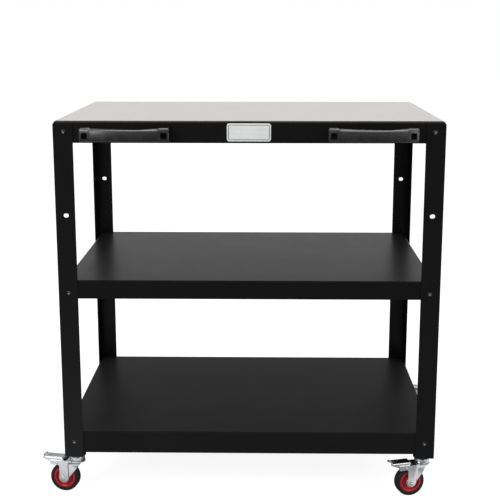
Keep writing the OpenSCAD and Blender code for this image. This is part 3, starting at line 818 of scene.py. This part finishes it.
HEAD_R, HEAD_H, SHANK_R, LEG_SCREW_LEN = 5.8, 2.5, 3, 8.7
SMALL_R, SMALL_SHANK_R, SMALL_LEN = 4.4, 2.5, 13.7
HOLE_INSET, SCREW_HEIGHTS = 25, (892, 511.8, 137.5)
SPIN_STEP = 37
leg_low, leg_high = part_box("leg_front_left")[0] / MM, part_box("leg_back_right")[1] / MM
TO_FRONT, TO_BACK, TO_LEFT, TO_RIGHT = (
    rotated(degrees, axis) for degrees, axis in ((90, "X"), (-90, "X"), (-90, "Y"), (90, "Y")))
leg_places = []
for x in (leg_low.x + HOLE_INSET, leg_high.x - HOLE_INSET):
    for y, facing in ((leg_low.y, TO_FRONT), (leg_high.y, TO_BACK)):
        leg_places += [moved(x, y, z) @ facing for z in SCREW_HEIGHTS]
for y in (leg_low.y + HOLE_INSET, leg_high.y - HOLE_INSET):
    for x, facing in ((leg_low.x, TO_LEFT), (leg_high.x, TO_RIGHT)):
        leg_places.append(moved(x, y, SCREW_HEIGHTS[0]) @ facing)
handle_places = [moved(abs(handle_mid.x) * side + foot * foot_x, apron_y - FOOT_BASE, handle_mid.z) @ TO_FRONT
                 for side in (-1, 1) for foot in (-1, 1)]


def show_screws(kind, screw, places, *finishes):
    """Shows a screw at all its places as one piece, each turned a little further than the last."""
    spun = [place @ rotated(SPIN_STEP * i, "Z") for i, place in enumerate(places)]
    crowd = many(kind + "_screws", screw, spun, *finishes)
    show(kind + "_cross_screws", crowd, "frame", [kind + "_screws"])


leg_screw = screw_mesh("leg_screw", HEAD_R, HEAD_H, SHANK_R, LEG_SCREW_LEN, painted_glint=True)
small_screw = screw_mesh("handle_screw", SMALL_R, HEAD_H, SMALL_SHANK_R, SMALL_LEN, painted_glint=False)
show_screws("leg", leg_screw, leg_places, black_screw, painted_glint_steel)
show_screws("handle", small_screw, handle_places, black_screw)
print("leg screws:", len(leg_places), "handle screws:", len(handle_places))

# %% [markdown]
# ## Blank nameplate
#
# The plate is pressed sheet with a raised border and nothing on it. It is a set of rounded
# rectangles, one inside the other, each at its own height, joined like the rings of a tree. The
# floor of the groove inside the border is painted dark, so its faces take a second material: that
# thin dark line is painted shade in the groove, and it is what makes the panel read as pressed.

# %% Press the nameplate
plate_low, plate_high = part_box("nameplate")
plate_mid = (plate_low + plate_high) / 2 / MM
plate_w, plate_h = (plate_high.x - plate_low.x) / MM, (plate_high.z - plate_low.z) / MM
GROOVE_H = 0.75
# Each ring: how far in from the plate's edge, and how high above the apron
PLATE_RINGS = [(0, 0), (0, 0.9), (0.3, 1.2), (0.9, 1.45), (1.6, 1.58), (2.6, 1.58), (3.1, 1.4),
               (3.3, GROOVE_H), (4.5, GROOVE_H), (4.8, 1.0), (5.4, 1.2), (6.4, 1.28), (9, 1.3), (14, 1.3)]


def ring_of_plate(inset, height):
    """One rounded rectangle of the plate, standing in the plane of the apron."""
    w, h, r = plate_w / 2 - inset, plate_h / 2 - inset, max(1.0, 6 - inset * 0.8)
    ring = []
    for cx, cz, start in ((w - r, h - r, 0), (r - w, h - r, 90), (r - w, r - h, 180), (w - r, r - h, 270)):
        for step in range(9):
            turn = math.radians(start + 90 * step / 8)
            x, z = plate_mid.x + cx + r * math.cos(turn), plate_mid.z + cz + r * math.sin(turn)
            ring.append((x, apron_y - height, z))
    return ring


plate_rings = [ring_of_plate(*row) for row in PLATE_RINGS]
pressed_plate = joined_sections("blank_nameplate", plate_rings, plate_metal, 50)
# Painted shade: the faces on the groove's floor take the dark finish
pressed_plate.materials.append(groove_shade_paint)
for face in pressed_plate.polygons:
    in_groove = abs(face.center.y / MM - (apron_y - GROOVE_H)) < 0.02
    face.material_index = 1 if in_groove and abs(face.normal.y) > 0.9 else 0
show("blank_nameplate", pressed_plate, "frame", ["nameplate"])
print("nameplate", round(plate_w), "by", round(plate_h), "mm")

# %% [markdown]
# ## Casters
#
# A caster has its own frame: the swivel axis is Z, the wheel trails along +X, and the axle lies
# along Y. The fork is shaped once for each caster, and the other parts are made once in that frame
# and shown four times. Each caster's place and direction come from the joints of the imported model,
# so nothing is measured twice: the swivel joint gives the place, and the axle's direction gives
# the turn.

# %% Find each caster
joints = {joint["name"]: joint for joint in frame["joints"]}
caster_at = {}
for corner in CORNERS:
    x, y, _ = joints["swivel_" + corner]["pos_m"]
    axle = joints["wheel_spin_" + corner]["axis"]
    direction = Matrix.Rotation(math.atan2(-axle[0], axle[1]), 4, "Z")
    caster_at[corner] = Matrix.Translation((x, y, 0)) @ direction
to_caster = caster_at["front_left"].inverted()
wheel_at = to_caster @ Vector(joints["wheel_spin_front_left"]["pos_m"])
TRAIL, WHEEL_R = wheel_at.x / MM, wheel_at.z / MM
along_axle = moved(TRAIL, 0, WHEEL_R) @ rotated(-90, "X")


def show_on_casters(*rows):
    """Shows each row's mesh on all four casters. All names but the frame's get the corner's name."""
    for corner in CORNERS:
        for piece, mesh, body, slot, node, offset in rows:
            rides_on = body if body == "frame" else body + "_" + corner
            place = caster_at[corner] @ offset
            show(piece + "_" + corner, mesh, rides_on, [node + "_" + corner], place)


print("trail", round(TRAIL, 1), "wheel radius", round(WHEEL_R, 1))

# %% [markdown]
# ### Tyre and hub
#
# The tyre is a thin band of rubber with a flat tread, two fine grooves and the parting line of its
# mould, and it stands a little proud of the hub. The hub is red plastic, dished on both sides: a
# rolled ring at the rim, a deep channel, and the boss that the guard disc covers.

# %% Turn the wheels
TYRE_HALF = 11
# Each point: how far below the tread, and how far in from the side
BAND = [(8.2, 1.2), (7.9, 0.3), (7.2, 0), (5.0, 0), (4.5, 0.3), (4.0, 0), (2.4, 0.2), (1.0, 1.0),
        (0.3, 2.4), (0.1, 4.0), (0.1, 6.3), (0.7, 6.6), (0.7, 7.2), (0.1, 7.5), (0.15, 10.6), (0, 10.88)]
tyre_side = [(WHEEL_R - below, inset - TYRE_HALF) for below, inset in BAND]
tyre_mesh = turned("tyre_band", tyre_side + [(r, -h) for r, h in tyre_side[::-1]], rubber, 128)
# Radius and height of each point, from the bore out to the rim
HUB = [(7.05, -12.8), (7.6, -13.2), (10.6, -13.2), (11.2, -12.7), (13.0, -7.0), (14.2, -5.5),
       (16.6, -5.1), (18.4, -5.6), (19.8, -7.2), (21.0, -9.2), (22.4, -10.3), (24.2, -10.6),
       (26.0, -10.3), (27.2, -9.6), (28.4, -8.6)]
hub_mesh = turned("dished_hub", HUB + [(r, -h) for r, h in HUB[::-1]], red_plastic, 128)
show_on_casters(("tyre_band", tyre_mesh, "wheel", "rubber", "tyre", along_axle),
                ("dished_hub", hub_mesh, "wheel", "red_plastic", "hub", along_axle))
print("tyre faces:", len(tyre_mesh.polygons), "hub faces:", len(hub_mesh.polygons))

# %% [markdown]
# ### Axle, bush and guard discs
#
# The wheel turns on a steel bush that the axle bolt clamps between the fork's legs. A shallow
# pressed disc at each end keeps threads and grit out. They are turned parts, apart from the nut,
# which is a hexagon with its corners taken off.

# %% Fit the axles
GUARD = [(4.1, -15), (8.6, -15), (9.6, -14.7), (12.2, -14.5), (12.5, -14.2), (12.5, -13.9),
         (12.2, -13.8), (7.0, -13.8)]
guard_mesh = turned("bush_and_guards", GUARD + [(r, -h) for r, h in GUARD[::-1]], zinc, 72)
FORK_HALF = 17.5


def hexagon_nut(name, radius, low, high, finish, chamfer=0.7):
    """A nut between two heights, with its corners chamfered on both faces."""
    face, flank = (0.9, 1.8), (1, 0.1)
    sections = []
    rows = ((low, face), (low + chamfer, flank), (high - chamfer, flank), (high, face))
    for height, (scale, round_r) in rows:
        turns = [math.radians(60 * k) for k in range(6)]
        corners = [(radius * scale * math.cos(turn), radius * scale * math.sin(turn)) for turn in turns]
        sections.append([(x, y, height) for x, y in eased(corners, round_r, steps=3)])
    return joined_sections(name, sections, finish, 30)


BOLT_R, NUT_R, NUT_H, BOLT_PAST = 4, 6.8, 4, 5.5
# Radius and height above the fork of each point of the bolt's head
BOLT_HEAD = [(0, 1.5), (1.7, 1.4), (2.2, 1.9), (4.4, 2), (5.2, 1.5), (5.4, 0.6), (5.4, 0)]
bolt = [(r, FORK_HALF + h) for r, h in BOLT_HEAD] + [(BOLT_R, FORK_HALF), (BOLT_R, -FORK_HALF - 4.8)]
bolt += [(3.4, -FORK_HALF - BOLT_PAST), (0, -FORK_HALF - BOLT_PAST)]
bolt_mesh = turned("axle_bolt", bolt, zinc, 40, closed=False)
nut_mesh = hexagon_nut("axle_nut", NUT_R, -FORK_HALF - NUT_H, -FORK_HALF, zinc)
axle_mesh = joined("axle_and_nut", [bolt_mesh, nut_mesh], zinc)
show_on_casters(("axle_bolt", axle_mesh, "caster", "zinc", "axle", along_axle),
                ("bush_and_guards", guard_mesh, "caster", "zinc", "bearing", along_axle))
print("axle bolt:", len(axle_mesh.polygons), "faces")

# %% [markdown]
# ### Stem, race housing and collar
#
# The caster hangs on a threaded stem. Below the black collar sits the ball race: two pressed cups
# with a seam between them, crimped over at the rim, turning over the fork's crown. The thread is a
# real helix: each point of the stud is pushed in by its place along the spiral.

# %% Turn the stems
STUD_LOW, STUD_TOP, STEM_R = 99.5, 116, 6
PITCH, THREAD_DEPTH, ROW_RISE = 1.75, 0.9, 0.22
# Radius and height of each point, from the kingpin's end up to the stem
RACE = [(0, 76.4), (6.6, 76.2), (8, 76.9), (8, 78.7), (5, 78.7), (5, 82.3), (16.2, 82.3), (17.5, 82.7),
        (18.3, 83.6), (18.5, 84.6), (18.5, 86.6), (18.0, 87.1), (18.0, 87.7), (18.5, 88.2), (18.5, 91.4),
        (18.1, 92.7), (17.3, 93.6), (16.4, 94), (STEM_R, 94), (STEM_R, STUD_LOW)]


def helix_rings(low, high, radius, steps=36):
    """Rows of points round a stud, pushed in along a spiral groove."""
    rows = []
    height = low
    while height < high - 1e-6:
        row = []
        for step in range(steps):
            share = (height / PITCH - step / steps) % 1.0
            run_out = min(1, (height - low) / 2, (high - height) / 1.2)
            reach = radius - THREAD_DEPTH * run_out * abs(2 * share - 1)
            turn = 2 * math.pi * step / steps
            row.append((reach * math.cos(turn), reach * math.sin(turn), height))
        rows.append(row)
        height += ROW_RISE
    return rows


race_mesh = turned("race_housing", RACE, zinc, 96, closed=False)
stud_rows = helix_rings(STUD_LOW, STUD_TOP, STEM_R)
stud_rows.append([(x * 0.85, y * 0.85, STUD_TOP) for x, y, _ in stud_rows[-1]])
stud_mesh = joined_sections("threaded_stud", stud_rows, zinc, 60)
stem_mesh = joined("stem", [race_mesh, stud_mesh], zinc)
COLLAR = eased([(6.2, 94), (20.2, 94), (21.7, 95.5), (21.7, 100), (6.2, 100)], 0.7, steps=3)
collar_mesh = turned("collar_disc", COLLAR, collar_plastic, 72)
upright = Matrix.Identity(4)
show_on_casters(("race_and_stem", stem_mesh, "frame", "zinc", "stem", upright),
                ("collar_disc", collar_mesh, "frame", "collar_plastic", "collar", upright))
print("stem faces:", len(stem_mesh.polygons))

# %% [markdown]
# ### Fork
#
# The fork is one pressing: a crown with two legs, and wings that draw in towards the nose. Its shape
# in the frame is right, but on a real one the wing isn't simply bent off the leg: the sheet steps in
# first, and that steep step shows as a dark line down the fork. A copy of the frame's own mesh is the
# simplest start: it is cut along the step's lines, and the points in front of it sink inwards on both
# faces of the sheet, so it keeps its thickness. Beside the tyre the wing sinks less and less towards
# the nose, to leave the wheel its room. Past the tyre it draws in again, which turns its face a
# little to the side. All of this dies out towards the crown.

# %% Press the step into the forks
STEP_S, STEP_LEN, STEP_DEPTH, STEP_TOP, FADE_HIGH = 21, 3.6, 3.2, 79, 8
STEP_CUTS = [STEP_S - STEP_LEN * share for share in (0, 0.25, 0.5, 0.75, 1)] + [12, 6, 0, -6, -12]
LEVEL_CUTS = (56, 60, 64, 68, 71, 73, 75, 77, STEP_TOP)
CLEAR_OF_TYRE, DRAW_IN, MID_HALF = 38, 0.3, 8


def step_depth(s, z):
    """How far the sheet sinks at a place on the fork's side."""
    share = min(1, max(0, STEP_S - s) / STEP_LEN)
    below_crown = min(1, max(0, STEP_TOP - z) / FADE_HIGH)
    past_tyre = max(0, math.hypot(s - TRAIL, z - WHEEL_R) - CLEAR_OF_TYRE)
    depth = STEP_DEPTH * min(1, max(0, s) / (STEP_S - STEP_LEN)) + DRAW_IN * past_tyre
    for fading in (share, below_crown):
        depth *= fading * fading * (3 - 2 * fading)
    return depth


cuts = [((s, 0, 0), (1, 0, 0)) for s in STEP_CUTS] + [((0, 0, z), (0, 0, 1)) for z in LEVEL_CUTS]
for corner in CORNERS:
    source = frame["nodes"]["fork_" + corner]
    sheet = bmesh.new()
    sheet.from_mesh(source.data)
    bmesh.ops.transform(sheet, matrix=caster_at[corner].inverted() @ source.matrix_world, verts=sheet.verts)
    for place, facing in cuts:
        bmesh.ops.bisect_plane(sheet, geom=sheet.verts[:] + sheet.edges[:] + sheet.faces[:], dist=1e-7,
                               plane_co=Vector(place) * MM, plane_no=facing)
    for point in sheet.verts:
        if abs(point.co.y) > MID_HALF * MM and point.co.z < STEP_TOP * MM:
            depth = step_depth(point.co.x / MM, point.co.z / MM) * MM
            point.co.y -= math.copysign(depth, point.co.y)
    pressing = bpy.data.meshes.new("pressed_fork")
    sheet.to_mesh(pressing)
    sheet.free()
    pressing.shade_smooth()
    pressing.set_sharp_from_angle(angle=math.radians(38))
    pressing.materials.append(zinc)
    fork = show("pressed_fork_" + corner, pressing, "caster_" + corner, ["fork_" + corner],
                caster_at[corner])
    round_corners(fork, 0.4, 50)
print("fork faces:", len(pressing.polygons))

# %% [markdown]
# ### Brake pedal
#
# The pedal is a pressed tray: a channel with round shoulders whose sides grow into the webs that
# hang on the pin, with a tip that turns up to keep a shoe from slipping. It is a row of channel
# sections, one at each place where its height or its sides change. The webs and the shoe between
# them must clear the tyre, so their lower edge isn't drawn: it is found from the tyre's circle, once
# with the pedal at rest and once with it pressed.

# %% Press the pedals
PEDAL_T, PEDAL_HALF, SHOULDER, TRAY_TOP, TRAY_END = 1.8, 14, 2.6, 89, 85
# Straight runs of the side's lower edge: distance along the trail, height
SKIRT = [(34, 85), (39, 80), (43, 72), (48, 70), (48.1, 66), (58, 66), (64, 76), (85, 85)]
REST_GAP, SHOE_GAP = 2.4, 0.4
# How far the tray turns up: distance along the trail, rise
TIP = [(77, 0), (80, 0.5), (82.5, 1.8), (84.2, 2.9), (85, 3)]
pin_at = to_caster @ Vector(joints["brake_press_front_left"]["pos_m"])
PIN_S, PIN_Z = pin_at.x / MM, pin_at.z / MM
pressed = math.radians(joints["brake_press_front_left"]["range_deg"][1])


def between(table, along):
    """Straight-line value of a table of (place, value) at a place."""
    for (a, low), (b, high) in zip(table, table[1:]):
        if along <= b:
            return low + (high - low) * max(0, along - a) / (b - a)
    return table[-1][1]


def lower_edge(along):
    """The side's lower edge, clear of the tyre at rest and with the pedal pressed."""
    back, down = TRAIL - PIN_S, WHEEL_R - PIN_Z
    pressed_s = PIN_S + back * math.cos(pressed) - down * math.sin(pressed)
    pressed_z = PIN_Z + back * math.sin(pressed) + down * math.cos(pressed)
    clear = between(SKIRT, along)
    for s, z, gap in ((TRAIL, WHEEL_R, REST_GAP), (pressed_s, pressed_z, SHOE_GAP)):
        reach = (WHEEL_R + gap) ** 2 - (along - s) ** 2
        if reach > 0:
            clear = max(clear, z + math.sqrt(reach))
    return clear


def channel_section(along):
    """The cross section of the tray: out over the shoulders and back inside them."""
    half = PEDAL_HALF - 1.5 * max(0, 1 - (TRAY_END - along) / 3) ** 2 - max(0, 34.8 - along)
    top, low = TRAY_TOP + between(TIP, along) - max(0, 34.6 - along) * 0.6, lower_edge(along)
    ring = []
    for reach, crown in ((half, top), (half - PEDAL_T, top - PEDAL_T)):
        r = SHOULDER if reach == half else SHOULDER - PEDAL_T + 0.3
        side = [(-reach, low), (-reach, (low + crown - r) / 2), (-reach, crown - r)]
        for step in range(1, 5):
            turn = math.radians(90 * step / 4)
            side.append((-reach + r - r * math.cos(turn), crown - r + r * math.sin(turn)))
        side += [(-reach / 2, crown), (0, crown)]
        half_ring = side + [(-y, z) for y, z in side[-2::-1]]
        ring += half_ring if reach == half else half_ring[::-1]
    return [(along, y, z) for y, z in ring]


def foot_rib(along, half, slant, base, high):
    """A low flattened bar across the tray."""
    rows = []
    for share in (-1, -0.94, -0.8, 0, 0.8, 0.94, 1):
        size = math.sqrt(max(0.02, 1 - share ** 4))
        centre = along + slant * share
        rows.append([(centre + w * size * 0.9, share * half, base + h * size * high - 0.1)
                     for w, h in ((-1, 0), (-0.6, 0.75), (0, 1), (0.6, 0.75), (1, 0))])
    return rows


STATIONS = [34, 34.6, 36, 39, 41, 43, 45, 47, 49, 51, 53, 55, 57, 58.5, 59.2, 60, 61, 62.5, 64, 66, 70,
            74, 77, 78.5, 80, 81.5, 82.8, 84.2, 85]
SHOE_STATIONS, RIBS_AT = (48, 49, 50.5, 52, 54, 56, 57.2, 58), (66, 69, 72, 75)
tray = joined_sections("pedal_tray", [channel_section(s) for s in STATIONS], zinc, 45)
ribs = [joined_sections("foot_rib", foot_rib(s, 8.5, 1.2, TRAY_TOP, 0.6), zinc, 60) for s in RIBS_AT]
shoe_outline = [(s, lower_edge(s)) for s in SHOE_STATIONS] + [(58, PIN_Z - 2), (48, PIN_Z - 2)]
inside = PEDAL_HALF - PEDAL_T
shoe = joined_sections("brake_shoe", [[(x, y, z) for x, z in shoe_outline] for y in (-inside, inside)], zinc)
pedal_mesh = joined("brake_pedal", [tray, *ribs, shoe], zinc)
# Radius and height above the fork of each point of the rivet's head
RIVET = [(0, 1.1), (1.8, 1.0), (2.6, 0.5), (2.6, 0), (2, 0)]
rivet_end = [(r, FORK_HALF + h) for r, h in RIVET]
pin_mesh = turned("pedal_rivet", rivet_end + [(r, -h) for r, h in rivet_end[::-1]], zinc, 28, closed=False)
along_pin = Matrix.Translation(pin_at) @ rotated(-90, "X")
show_on_casters(("brake_pedal", pedal_mesh, "brake", "zinc", "pedal", upright),
                ("pedal_rivet", pin_mesh, "caster", "zinc", "pedal_pin", along_pin))
print("pedal faces:", len(pedal_mesh.polygons))

# %% [markdown]
# ## Nuts
#
# The nuts behind the legs, the stems and the handles have the right shape in the frame. They could
# be left as they are, but a nut's corners are worn round by the spanner, so they get the same eased
# edges as the folded steel, a little finer.

# %% Ease the nuts
for name in ("leg_nuts", "stem_nuts", "handle_nuts"):
    soften_edges(frame["nodes"][name], 0.3)
print("eased the nuts")
